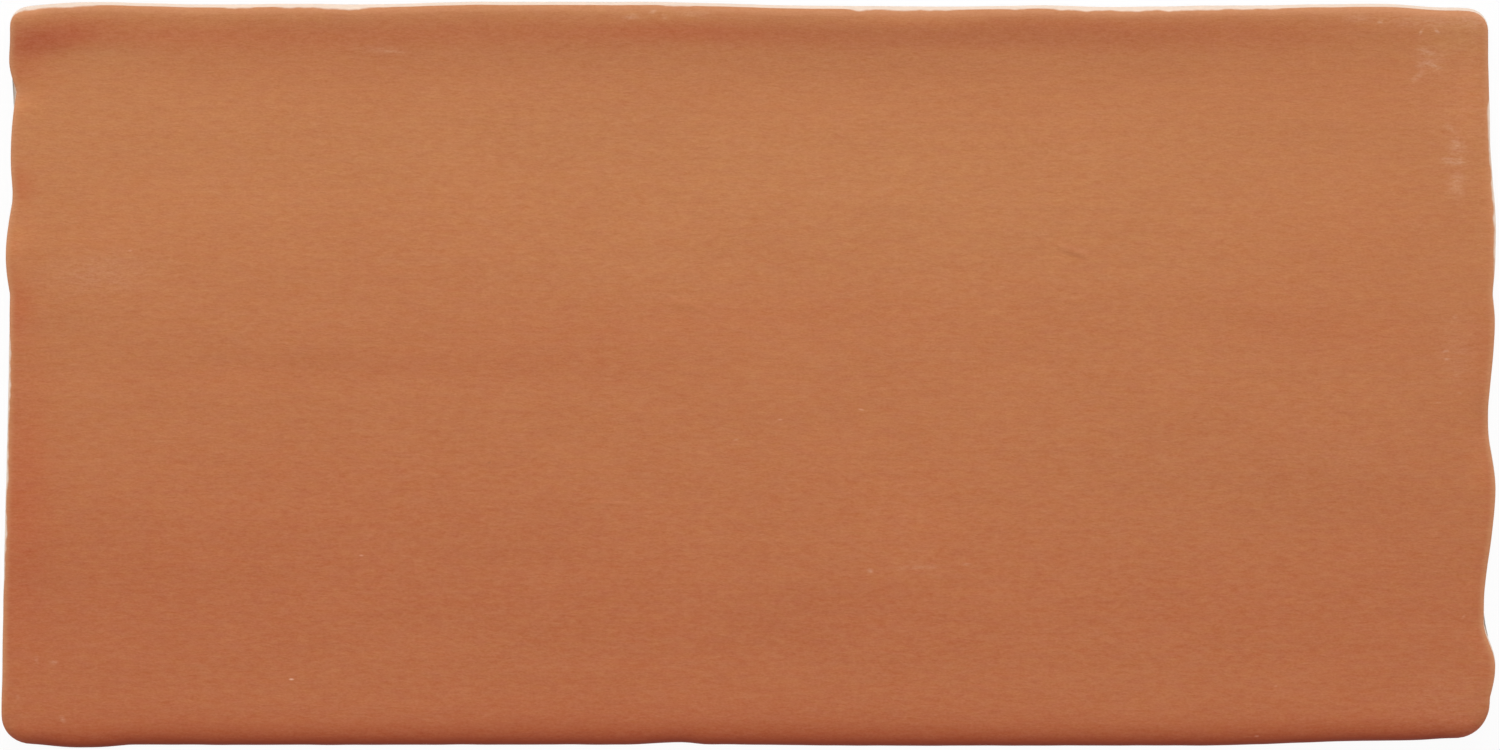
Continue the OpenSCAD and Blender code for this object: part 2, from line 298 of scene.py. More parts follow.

# How much each noise adds to the redness, shade, pale film and coolness of the glaze, to the
# strength of its rubbed marks and to the shade of the body, with the level that each varies about.
# Where the shade and the pale film follow the crepe, haze and grain, they are partly painted
# shading and painted sheen of the fine relief.
REDNESS, REDNESS_LEVEL = {"patches": 0.26, "mottle": 0.58, "drift": 0.3}, 0.59
SHADE, SHADE_LEVEL = {"crepe": 0.11, "haze": 0.13, "grain": 0.15, "streaks": 0.05, "cloud": 0.08}, 1
FILM_AND_SHEEN, FILM_AND_SHEEN_LEVEL = {"haze": 0.08, "grain": 0.135, "crepe": 0.1, "cloud": 0.03}, 0.05
COOLNESS, COOLNESS_LEVEL = {"flecks": 0.25}, 0.045
RUBBING, RUBBING_LEVEL = {"haze": 2.2, "grain": 1}, 0.68
BODY_SHADE, BODY_SHADE_LEVEL = {"body_grain": 0.18, "body_patch": 0.12}, 0.96

REDDENING, REDDEST = 0.0122, -23  # redness gained for each millimetre forward, up to this line
RUBBED_SHADE, RUBBED_FILM, RUBBED_ROUGH = 0.36, 0.8, 0.2  # what a full rubbed mark adds
SPECK_SHADE, SPECK_BODY = 0.4, 0.5  # what a full speck adds
FILM_AND_SHEEN_LOSS = 10  # the pale film and painted sheen lose this times the square of the darkness of the front roll
GRAIN_ROUGH = 0.1  # what the grain adds to the roughness
BODY_ROUGHNESS = 0.85
LINE_WANDER, LINE_SOFTNESS = 0.6, 0.12  # of the line where the glaze ends, in millimetres
CREPE_TO_GRAIN = 3  # how many times as high as the grain the crepe is
GLAZE_IOR, GLAZE_SPECULAR = 1.4, 0.42  # gloss of the glaze
FAR_DEEP = 1000  # depth of a mark that takes in the whole thickness, in millimetres

# The studio, with distances in metres and turns in degrees
FLOOR_GAP = 0.00005  # how far the floor lies under the back, so that the two don't share a plane
FLOOR_REACH = 6  # from the tile to the floor's edge
FLOOR_ROUGHNESS, FLOOR_WHITENESS = 0.9, 0.94  # the last is the share that is seen as plain white
KEY_PLACE, KEY_SIZE = (-0.02, 0.5, 0.6), (0.7, 0.4)
SIDE_TURN, SIDE_SPREAD = 80, 40  # how far the side lamps lean over, and how soft they are
CAMERA_TILT = 1.5  # how far the camera leans back from straight down
CAMERA_SHIFT = (0.00018, -0.00006)  # how far it is moved to centre the tile's uneven outline
SENSOR_WIDTH = 36  # in millimetres, as the lens is
VIEW_END = 20  # how far the camera sees


def length(name, description, default):
    """A length property: its default is given in millimetres, and it is held in metres."""
    return bpy.props.FloatProperty(
        name=name, description=description, default=default * MM, subtype="DISTANCE", precision=5
    )


def share(name, description, default, highest=1):
    """A property that is a plain number from 0 up."""
    return bpy.props.FloatProperty(
        name=name, description=description, default=default, min=0, max=highest, precision=4
    )


def colour(name, description, default):
    """A colour property, given by its red, green and blue as a screen shows them, from 0 to 255."""
    linear = [((part / 255 + 0.055) / 1.055) ** 2.4 for part in default]
    return bpy.props.FloatVectorProperty(
        name=name, description=description, default=linear, size=3, min=0, max=1, subtype="COLOR"
    )


def box_side(axis):
    """A side of the tile's box in the frame, in millimetres."""
    return (TILE_BOX[1][axis] - TILE_BOX[0][axis]) / MM


class TileShape(bpy.types.PropertyGroup):
    """Sizes of the fired tile."""

    long_side: length("Length", "Length over the furthest bulges of the ends", box_side(0))
    wide_side: length("Width", "Width over the furthest bulges of the long sides", box_side(1))
    thickness: length("Thickness", "Thickness at the middle of the face", 8.5)
    front_run: length("Front roll run", "How far in the face starts to roll over", 2.4)
    front_drop: length("Front roll drop", "How far down the front side its roll reaches", 1.4)
    tight_run: length("Tight roll run", "The same for the rear side", 0.8)
    tight_drop: length("Tight roll drop", "How far down the rear side its roll reaches", 0.45)
    end_run: length("Arris run", "How far in the face rounds off over the ends", 0.35)
    end_drop: length("Arris drop", "How far down the ends their round reaches", 0.3)
    roll_blend: length("Roll blend", "Distance over which the front roll tightens", 10)
    side_flare: length("Side flare", "How far a long side flares out below the roll", 0.2)
    end_flare: length("End flare", "How far an end flares out below the roll", 0.2)
    back_chamfer: length("Back chamfer", "Size of the chamfer round the back", 0.4)
    rear_left: length("Rear left radius", "Radius of the rear left corner", 1.9)
    rear_right: length("Rear right radius", "Radius of the rear right corner", 2.2)
    front_right: length("Front right radius", "Radius of the front right corner", 3.6)
    front_left: length("Front left radius", "Radius of the front left corner", 3.1)
    crown: length("Crown", "Rise of the middle of the face over its sides", 0.3)
    rear_lip: length("Rear lip", "Height of the soft lip inside the rear side", 0.3)
    front_lip: length("Front lip", "Height of the soft lip inside the front side", 0.06)
    lip_fall: length("Lip fall", "Distance over which a lip falls away", 8)
    swell_height: length("Swell height", "Height of the broad swells", 0.04)
    swell_pitch: length("Swell pitch", "Distance from one swell to the next", 23)
    left_lean: length("Left lean", "How far the left end leans in towards the rear", 1)
    rim_reach: length("Rim reach", "How far in the fall of the rim dies out", 3)
    rim_follow: share("Rim follow", "Fall of the rim at a dip, as a share of the dip", 0.25)
    ripple: length("Edge ripple", "Depth of the fine unevenness of the sides", 0.05)
    unevenness: length("Face unevenness", "Height of the fine unevenness of the face", 0.004)
    groove_width: length("Groove width", "Width of a keying groove", 4)
    groove_depth: length("Groove depth", "Depth of a keying groove", 0.8)
    rib_width: length("Rib width", "Width of the rib between two grooves", 3.2)
    groove_border: length("Groove border", "Least width of the border round the grooves", 8)


class GlazeLook(bpy.types.PropertyGroup):
    """Colours and finish of the glaze and the bare body."""

    warm: colour("Warm glaze", "Glaze where it is yellower", (197, 131, 76))
    red: colour("Red glaze", "Glaze where it is redder", (184, 99, 53))
    cool: colour("Cool glaze", "Glaze in the cooler flecks between the two", (177, 109, 94))
    thick: colour("Thick glaze", "Glaze where it lies thick", (186, 66, 24))
    # This paler colour is thin glaze, and over the ends it is also painted light
    thin_and_lit: colour("Thin glaze", "Glaze drawn thin over the rim", (200, 134, 90))
    # This pale colour is dust on the rubbed places, and painted sheen in the faint film all over
    dust: colour("Dust", "Pale film on a rubbed place", (204, 172, 148))
    body: colour("Bare body", "The fired clay where no glaze covers it", (240, 216, 196))
    roughness: share("Roughness", "Roughness of the glaze", 0.64)
    crepe: length("Crepe height", "Height of the fine crepe of the glaze", 0.031)
    pitting: length("Pitting", "Height of the pitting of the bare body", 0.02)


class StudioLook(bpy.types.PropertyGroup):
    """The floor, the lights and the camera."""

    floor: colour("Floor", "Colour of the floor", (246, 246, 246))
    key_power: share("Key", "Strength of the large lamp behind the tile", 4.2, 100)
    side_power: share("Sides", "Strength of the two low lamps beside the tile", 0.9, 100)
    fill: share("Fill", "Strength of the light from all round", 0.34, 10)
    frame_width: length("Frame width", "Width of the floor that the camera takes in", 150.45)
    camera_height: length("Camera height", "Distance of the camera from the tile", 3000)


def sizes(group):
    """The settings of a group as plain numbers, with its lengths in millimetres."""
    rules = group.bl_rna.properties
    return SimpleNamespace(
        **{
            key: getattr(group, key) / (MM if rules[key].unit == "LENGTH" else 1)
            for key in group.__annotations__
        }
    )


# ---- The shape ----


def fade(t):
    """1 at 0, falling smoothly to 0 at 1."""
    u = np.clip(t, 0, 1)
    return 1 - u * u * (3 - 2 * u)


def slump(t):
    """1 at 0, falling at once and dying out at 1."""
    return (1 - np.clip(t, 0, 1)) ** 2


def inset_at(waves, place):
    """Inset of a side at places along it.

    Between a dip and a crest it follows half a cosine where the dip is round, a quarter of a sine
    where the dip is a cusp, and a mix of the two between.
    """
    knots = np.array(waves, float)
    at = np.clip(place, knots[0, 0], knots[-1, 0])
    i = np.clip(np.searchsorted(knots[:, 0], at, side="right") - 1, 0, len(knots) - 2)
    low, high = knots[i], knots[i + 1]
    along = (at - low[..., 0]) / (high[..., 0] - low[..., 0])
    falling = low[..., 1] < high[..., 1]
    dip = np.where(falling[..., None], high, low)
    crest = np.where(falling[..., None], low, high)
    t = np.where(falling, 1 - along, along)
    sharp = dip[..., 2]
    rise = (1 - sharp) * (1 - np.cos(np.pi * t)) / 2 + sharp * np.sin(np.pi / 2 * t)
    return dip[..., 1] + (crest[..., 1] - dip[..., 1]) * rise


def sum_of_waves(seed, count, shortest, longest, x, y=0, stretch=1):
    """A smooth uneven field of about -1 to 1: plane waves of random heading, length and phase.

    The sines are added up and divided by the square root of their count. The lengths are spread
    evenly by ratio, and stretch draws the field out along X.
    """
    chance = np.random.default_rng(seed)
    total = 0
    for _ in range(count):
        span = shortest * (longest / shortest) ** chance.random()
        heading = np.pi * chance.random()
        phase = 2 * np.pi * chance.random()
        across = np.cos(heading) * x / stretch + np.sin(heading) * y
        total = total + np.sin(2 * np.pi * across / span + phase)
    return total / math.sqrt(count)


def blot(form, x, y):
    """A soft oval spot: the square of its reach falls off as a bell curve each way."""
    centre_x, centre_y, half_length, half_width, height, turn = form
    cos, sin = math.cos(math.radians(turn)), math.sin(math.radians(turn))
    along = (x - centre_x) * cos + (y - centre_y) * sin
    across = (y - centre_y) * cos - (x - centre_x) * sin
    return height * np.exp(-((along / half_length) ** 2) - (across / half_width) ** 2)


def corner_radius(s, x, y):
    """Radius of the corner that each point lies nearest to."""
    front = np.where(x < 0, s.front_left, s.front_right)
    rear = np.where(x < 0, s.rear_left, s.rear_right)
    return np.where(y < 0, front, rear)


def rounded(s, x, y, half, corner_cut):
    """Gives a rectangle of the given half sizes its round corners.

    Nested squares about a corner's centre turn into nested arcs, so that a point keeps its
    distance from the edge.
    """
    radius = np.maximum(corner_radius(s, x, y) - corner_cut, LEAST_RADIUS)
    out_x, out_y = abs(x) - half[0] + radius, abs(y) - half[1] + radius
    in_corner = (out_x > 0) & (out_y > 0)
    reach = np.where(in_corner, np.hypot(out_x, out_y), 1)
    pull = np.where(in_corner, 1 - np.maximum(out_x, out_y) / reach, 0)
    return np.sign(x) * (abs(x) - out_x * pull), np.sign(y) * (abs(y) - out_y * pull)


def side_ripple(s, seed, place, half):
    """Fine unevenness of a side: a sum of short waves along it, all of it inward."""
    return s.ripple * (RIPPLE_MEAN + RIPPLE_SWING * sum_of_waves(seed, *RIPPLE_WAVES, place * half))


def uneven(s, x, y):
    """Moves points of the even tile in with the waves of its sides.

    Each side's inset counts by how far the point lies from the middle line towards that side.
    """
    half_x, half_y = s.long_side / 2, s.wide_side / 2
    place_x, place_y = x / half_x, y / half_y
    left = inset_at(LEFT_WAVES, place_y) + s.left_lean * (1 + place_y) / 2
    left = left + side_ripple(s, LEFT_SEED, place_y, half_y)
    right = inset_at(RIGHT_WAVES, place_y) + side_ripple(s, RIGHT_SEED, place_y, half_y)
    front = inset_at(FRONT_WAVES, place_x) + side_ripple(s, FRONT_SEED, place_x, half_x)
    rear = inset_at(REAR_WAVES, place_x) + side_ripple(s, REAR_SEED, place_x, half_x)
    return (
        x + left * np.maximum(-place_x, 0) - right * np.maximum(place_x, 0),
        y + front * np.maximum(-place_y, 0) - rear * np.maximum(place_y, 0),
    )


def rim_width(s):
    """Reach of the close lines of the grid along the sides."""
    return s.front_run + s.rim_reach


def edge_lines(s, run):
    """Lines of the grid as distances from a side: cosine steps over the roll, then even steps."""
    roll = run * (1 - np.cos(np.pi / 2 * np.arange(ROLL_STEPS + 1) / ROLL_STEPS))
    rim = run + (rim_width(s) - run) * np.arange(1, RIM_STEPS + 1) / RIM_STEPS
    return np.concatenate([roll, rim])


def grid_lines(s, half, first_run, middle_steps):
    """Lines of the face's grid along one axis, close together over the roll and the rim."""
    reach = half - rim_width(s)
    middle = reach * (2 * np.arange(1, middle_steps) / middle_steps - 1)
    first, last = edge_lines(s, first_run), edge_lines(s, s.tight_run)
    return np.concatenate([first - half, middle, half - last[::-1]])


def share_in_front(s, top_half, x, y):
    """1 along the front side, falling smoothly to 0 round its two corners."""
    from_end = np.minimum(top_half[0] - abs(x), s.roll_blend)
    return fade(0.5 + (top_half[1] + y - from_end) / s.roll_blend)


def roll_fall(s, top_half, x, y):
    """Fall of the face over the roll: a quarter ellipse, wide in front and tightest at the ends."""
    share_front = share_in_front(s, top_half, x, y)
    from_rear = np.minimum(top_half[1] - y, CORNER_BLEND)
    share_end = fade(0.5 + (top_half[0] - abs(x) - from_rear) / CORNER_BLEND)
    run = s.tight_run + (s.end_run - s.tight_run) * share_end
    drop = s.tight_drop + (s.end_drop - s.tight_drop) * share_end
    run = run + (s.front_run - run) * share_front
    drop = drop + (s.front_drop - drop) * share_front
    from_edge = np.minimum(top_half[0] - abs(x), top_half[1] - abs(y))
    turn = np.clip(from_edge / run, 0, 1)
    return drop * (1 - np.sqrt(1 - (1 - turn) ** 2))


def face_height(s, top_half, x, y):
    """Height of the face over places of the even tile.

    It is the thickness, less a quarter ellipse for the roll and a parabola both ways for the
    crown, plus the lips inside the long sides, the broad swells and the small forms, less the
    fall of the rim beside each dip of an end.
    """
    place_x, place_y = x / (s.long_side / 2), y / (s.wide_side / 2)
    from_edge = np.minimum(top_half[0] - abs(x), top_half[1] - abs(y))
    middle = (1 - place_x**2) * (1 - place_y**2)
    dome = s.crown * (1 - middle)
    lips = s.rear_lip * slump((top_half[1] - y - s.tight_run) / s.lip_fall)
    lips = lips + s.front_lip * slump((top_half[1] + y - s.front_run) / s.lip_fall)
    swell = np.cos(2 * np.pi * (y + SWELL_SLANT * x) / s.swell_pitch) * (1 - place_y**2)
    left = inset_at(LEFT_WAVES, place_y) * fade((top_half[0] + x) / s.rim_reach)
    right = inset_at(RIGHT_WAVES, place_y) * fade((top_half[0] - x) / s.rim_reach)
    rim = s.rim_follow * (left + right)
    forms = sum(blot(form, x, y) for form in FACE_FORMS)
    fine = s.unevenness * sum_of_waves(FACE_SEED, *FACE_WAVES, x, y, FACE_STRETCH)
    fine = fine * fade(1 - from_edge / s.front_run)
    surface = s.thickness - s.swell_height * (1 - swell) - dome + lips - rim + forms + fine
    return surface - roll_fall(s, top_half, x, y)


def around(grid):
    """The border of a grid of values, counted anticlockwise from the front left corner."""
    return np.concatenate([grid[0, :-1], grid[:-1, -1], grid[-1, :0:-1], grid[:0:-1, 0]])


def sheet_faces(numbers):
    """Four-sided faces between the neighbours in a grid of vertex numbers, seen anticlockwise."""
    corners = [numbers[:-1, :-1], numbers[:-1, 1:], numbers[1:, 1:], numbers[1:, :-1]]
    return np.stack(corners, -1).reshape(-1, 4)


def groove_rows(s):
    """Distances of the grooves from the middle of the back: an even number of them."""
    pitch = s.groove_width + s.rib_width
    room = s.wide_side - 2 * s.groove_border + s.rib_width
    count = 2 * math.floor(room / pitch / 2)
    return (np.arange(count) - (count - 1) / 2) * pitch


def groove_depth_at(s, x, y):
    """Depth of the keying grooves over places of the back.

    Each groove is a stadium. The depth falls to nothing over a short drafted shoulder, by the
    distance from the stadium's edge.
    """
    rows = groove_rows(s)
    nearest = rows[np.argmin(abs(y[..., None] - rows), axis=-1)]
    straight = s.long_side / 2 - s.groove_border - s.groove_width / 2
    off_axis = np.hypot(np.maximum(abs(x) - straight, 0), y - nearest)
    out = off_axis - s.groove_width / 2 + GROOVE_SHOULDER
    return s.groove_depth * fade(out / GROOVE_SHOULDER)


def crowded_lines(half, count, spots, closeness):
    """Evenly counted lines from -half to half that crowd together near the given spots.

    Their density is 1, plus the closeness times a bell curve about each spot. The lines cut the
    running sum of the density into equal parts.
    """
    fine = np.linspace(-half, half, CROWDING_STEPS)
    near = np.exp(-((fine[:, None] - np.asarray(spots)) ** 2) / CROWDING).sum(1)
    weight = np.cumsum(1 + closeness * np.minimum(near, 1))
    weight = (weight - weight[0]) / (weight[-1] - weight[0])
    return np.interp(np.linspace(0, 1, count), weight, fine)


def glaze_run(place_x, place_y):
    """How far down the nearest side the glaze runs below the top of the side."""
    left, right = inset_at(LEFT_GLAZE, place_y), inset_at(RIGHT_GLAZE, place_y)
    front, rear = inset_at(FRONT_GLAZE, place_x), inset_at(REAR_GLAZE, place_x)
    ends = np.where(place_x < 0, left, right)
    sides = np.where(place_y < 0, front, rear)
    return np.where(abs(place_x) > abs(place_y), ends, sides)


def glaze_depth(s, top_half, x, y):
    """Painted values of the glaze over places of the face, by name.

    "thick" is how thick it lies: deepest over the front roll, from where it falls off as an
    exponential, and less so in the hollow inside the rear lip and in the pools. The next is how
    thin and pale it is drawn over the rear rim, and over the ends, where it is also painted light.
    The next is the painted shade over the front roll, partly the darkening of its pool: a square
    and a sixth power of its depth, added up to a limit. The last is painted shade, partly where the
    firing has darkened the glaze, and painted light where it is under 0.
    """
    from_rear, from_front = top_half[1] - y, top_half[1] + y
    from_end = top_half[0] - abs(x)
    hollow = fade(abs(from_rear - HOLLOW_LINE) / HOLLOW_REACH) * HOLLOW_WEIGHT
    hollow = hollow * fade((HOLLOW_END - from_end) / HOLLOW_RISE)
    pools = sum(blot(form, x, y) for form in POOLS)
    front = np.exp(-from_front / FRONT_POOL) * share_in_front(s, top_half, x, y)
    thick = np.clip(front + hollow + pools, 0, 1)
    thin_rear = fade(from_rear / REAR_THIN) * inset_at(REAR_THINNESS, x / top_half[0])
    # Over the ends the paler glaze is partly painted light
    end_thin_and_light = END_THIN_AND_LIT_WEIGHT * fade(from_end / END_THIN_AND_LIT) * (1 - fade(from_front / END_THIN_AND_LIT_RISE))
    # Painted shade over the front roll, partly the darkening of its thick pool
    front_pool_shade = np.minimum(DARK_BROAD * front**2 + DARK_CLOSE * front**6, DARK_MOST)
    # Painted shade, partly smoke of the firing, and painted light where it is under 0
    smoke_and_shade = sum(blot(form, x, y) for form in SMOKE_AND_SHADE)
    return {"thick": thick, "thin_and_lit": np.maximum(thin_rear, end_thin_and_light), "front_pool_shade": front_pool_shade, "smoke_and_shade": smoke_and_shade}


def tile_surface(s):
    """Points, faces and painted values of the whole tile, in millimetres.

    The face is a grid. Rings of points go down from its border, first along the flared side and
    then over the chamfer, and the last ring is the border of the grid of the back. The glaze is
    painted as the distance, along the roll and down the side, to the line where it ends.
    """
    top_half = (s.long_side / 2 - s.end_flare, s.wide_side / 2 - s.side_flare)
    lines_x = grid_lines(s, top_half[0], s.tight_run, MIDDLE_STEPS_X)
    lines_y = grid_lines(s, top_half[1], s.front_run, MIDDLE_STEPS_Y)
    x, y = np.meshgrid(lines_x, lines_y)
    px, py = uneven(s, *rounded(s, x, y, top_half, s.side_flare))
    face = np.stack([px, py, face_height(s, top_half, x, y)], -1)

    rim = around(face)
    places = np.stack([around(x) / top_half[0], around(y) / top_half[1]])

    def outline(shrink):
        """The tile's outline, that far in from its widest."""
        half = (s.long_side / 2 - shrink, s.wide_side / 2 - shrink)
        even = rounded(s, places[0] * half[0], places[1] * half[1], half, shrink)
        return np.stack(uneven(s, *even), -1)

    widest, foot = outline(0), outline(s.back_chamfer)
    rings = []
    for step in range(1, WALL_STEPS + 1):
        down = step / WALL_STEPS
        plan = rim[:, :2] + (widest - rim[:, :2]) * down
        rings.append(np.column_stack([plan, rim[:, 2] * (1 - down) + s.back_chamfer * down]))
    chamfer_middle = np.full(len(rim), s.back_chamfer / CHAMFER_FULLNESS)
    rings.append(np.column_stack([(widest + foot) / 2, chamfer_middle]))

    rows = groove_rows(s)
    shoulder = (s.groove_width - GROOVE_SHOULDER) / 2
    back_half = (s.long_side / 2 - s.back_chamfer, s.wide_side / 2 - s.back_chamfer)
    end = s.long_side / 2 - s.groove_border - s.groove_width / 4
    sides = [*(rows - shoulder), *(rows + shoulder)]
    back_x = crowded_lines(back_half[0], len(lines_x), [-end, end], GROOVE_END_CLOSENESS)
    back_y = crowded_lines(back_half[1], len(lines_y), sides, GROOVE_SIDE_CLOSENESS)
    bx, by = np.meshgrid(back_x, back_y)
    qx, qy = uneven(s, *rounded(s, bx, by, back_half, s.back_chamfer))
    back = np.stack([qx, qy, groove_depth_at(s, bx, by)], -1)

    face_numbers = np.arange(x.size).reshape(x.shape)
    ring_numbers = x.size + np.arange(len(rings) * len(rim)).reshape(len(rings), -1)
    back_numbers = ring_numbers[-1, -1] + 1 + face_numbers
    wall = np.vstack([around(face_numbers), ring_numbers, around(back_numbers)])
    wall = np.column_stack([wall, wall[:, :1]])
    faces = np.vstack(
        [sheet_faces(face_numbers), sheet_faces(wall[::-1]), sheet_faces(back_numbers[:, ::-1])]
    )
    points = np.vstack([face.reshape(-1, 3), *rings, back.reshape(-1, 3)])

    def painted(over_face, on_ring, on_back=0.0):
        """A painted value of every point, in the order of the points."""
        return np.concatenate(
            [over_face.ravel(), *[on_ring(ring) for ring in rings], np.full(x.size, on_back)]
        )

    from_edge = np.minimum(top_half[0] - abs(x), top_half[1] - abs(y))
    run = glaze_run(x / top_half[0], y / top_half[1])
    down_side = around(run) - rim[:, 2]
    values = {"glaze": painted(from_edge + run, lambda ring: down_side + ring[:, 2], UNGLAZED)}
    for key, over_face in glaze_depth(s, top_half, x, y).items():
        values[key] = painted(over_face, lambda ring: around(over_face))
    return points, faces, values


def add_object(name, data):
    """A new object of the scene with that data."""
    thing = bpy.data.objects.new(name, data)
    bpy.context.scene.collection.objects.link(thing)
    return thing


def make_piece(name, points, faces, painted):
    """A smooth mesh object at the origin, from points in millimetres, with its painted values."""
    mesh = bpy.data.meshes.new(name)
    mesh.from_pydata((points * MM).tolist(), [], faces.tolist())
    for key, values in painted.items():
        layer = mesh.attributes.new(key, "FLOAT", "POINT")
        layer.data.foreach_set("value", values.astype(np.float32))
    mesh.polygons.foreach_set("use_smooth", np.ones(len(mesh.polygons), bool))
    mesh.update()
    return add_object(name, mesh)


# ---- Materials ----


class Number:
    """A number inside a material. Arithmetic on it adds Math nodes."""

    def __init__(self, board, socket):
        self.board, self.socket = board, socket

    def math(self, operation, *parts, clamp=False):
        """The result of a Math node with that operation on the parts."""
        settings = {"operation": operation, "use_clamp": clamp}
        node = self.board.node("Math", settings, dict(enumerate(parts)))
        return Number(self.board, node.outputs[0])

    def __add__(self, other):
        return self.math("ADD", self, other)

    __radd__ = __add__

    def __sub__(self, other):
        return self.math("SUBTRACT", self, other)

    def __rsub__(self, other):
        return self.math("SUBTRACT", other, self)

    def __mul__(self, other):
        return self.math("MULTIPLY", self, other)

    __rmul__ = __mul__

    def clamped(self):
        """Held between 0 and 1."""
        return self.math("ADD", self, 0, clamp=True)

    def between(self, low, high):
        """0 at low and under, 1 at high and over, and a smooth step between. High may be lower."""
        settings = {"interpolation_type": "SMOOTHSTEP", "clamp": True}
        flip = high < low
        ends = {1: high, 2: low, 3: 1, 4: 0} if flip else {1: low, 2: high, 3: 0, 4: 1}
        node = self.board.node("MapRange", settings, {0: self, **ends})
        return Number(self.board, node.outputs[0])


class Board:
    """The nodes of one material, or of the world."""

    def __init__(self, owner):
        owner.use_nodes = True
        self.tree = owner.node_tree
        self.tree.nodes.clear()

    def node(self, kind, settings=(), sockets=()):
        """Adds a node of that type: its settings are set first, then its sockets are filled."""
        node = self.tree.nodes.new("ShaderNode" + kind)
        for key, value in dict(settings).items():
            setattr(node, key, value)
        for key, value in dict(sockets).items():
            if isinstance(value, Number):
                value = value.socket
            if isinstance(value, bpy.types.NodeSocket):
                self.tree.links.new(value, node.inputs[key])
            else:
                node.inputs[key].default_value = value
        return node

    def painted(self, key):
        """A painted value of the piece."""
        node = self.node("Attribute", {"attribute_name": key})
        return Number(self, node.outputs["Fac"])

    def place(self):
        """The place on the piece, in millimetres."""
        spot = self.node("TexCoord").outputs["Object"]
        scaled = self.node("VectorMath", {"operation": "SCALE"}, {0: spot, "Scale": 1 / MM})
        return scaled.outputs[0]

    def noise(self, place, spans, detail, roughness, shift):
        """Noise from -0.5 to 0.5, whose features have the given sizes along X, Y and Z."""
        scale = [1 / span for span in spans]
        mapping = {"Vector": place, "Scale": scale, "Location": (shift, shift / 2, shift / 3)}
        spot = self.node("Mapping", {"vector_type": "POINT"}, mapping).outputs[0]
        sockets = {"Vector": spot, "Scale": 1, "Detail": detail, "Roughness": roughness}
        return Number(self, self.node("TexNoise", {}, sockets).outputs[0]) - 0.5

    def spots(self, place, forms):
        """The sum of soft ovals [x, y, half length, half width, height, turn] on the face."""
        total = 0
        for x, y, half_length, half_width, height, turn in forms:
            oval = {"Location": (x, y, 0), "Rotation": (0, 0, math.radians(turn))}
            oval["Scale"] = (half_length, half_width, FAR_DEEP)
            spot = self.node("Mapping", {"vector_type": "TEXTURE"}, {"Vector": place, **oval})
            reach = self.node("VectorMath", {"operation": "LENGTH"}, {0: spot.outputs[0]})
            total = Number(self, reach.outputs["Value"]).between(1, 0) * height + total
        return total

    def blend(self, factor, first, second, mode="MIX"):
        """Mixes two colours: the first at factor 0, the second at 1."""
        settings = {"data_type": "RGBA", "blend_type": mode}
        return self.node("Mix", settings, {0: factor, 6: first, 7: second}).outputs[2]

    def grey(self, number):
        """A number as a grey colour."""
        return self.node("CombineColor", {}, {0: number, 1: number, 2: number}).outputs[0]

    def finish(self, kind, shader):
        """Joins a shader to the output of that kind."""
        self.node("Output" + kind, {}, {"Surface": shader})


def rgba(value):
    """A colour property as the four numbers that a socket takes."""
    return (*value, 1)


def weighed(noises, weights, level):
    """The sum of the noises, each times its weight, about a level."""
    return sum(noises[key] * weight for key, weight in weights.items()) + level


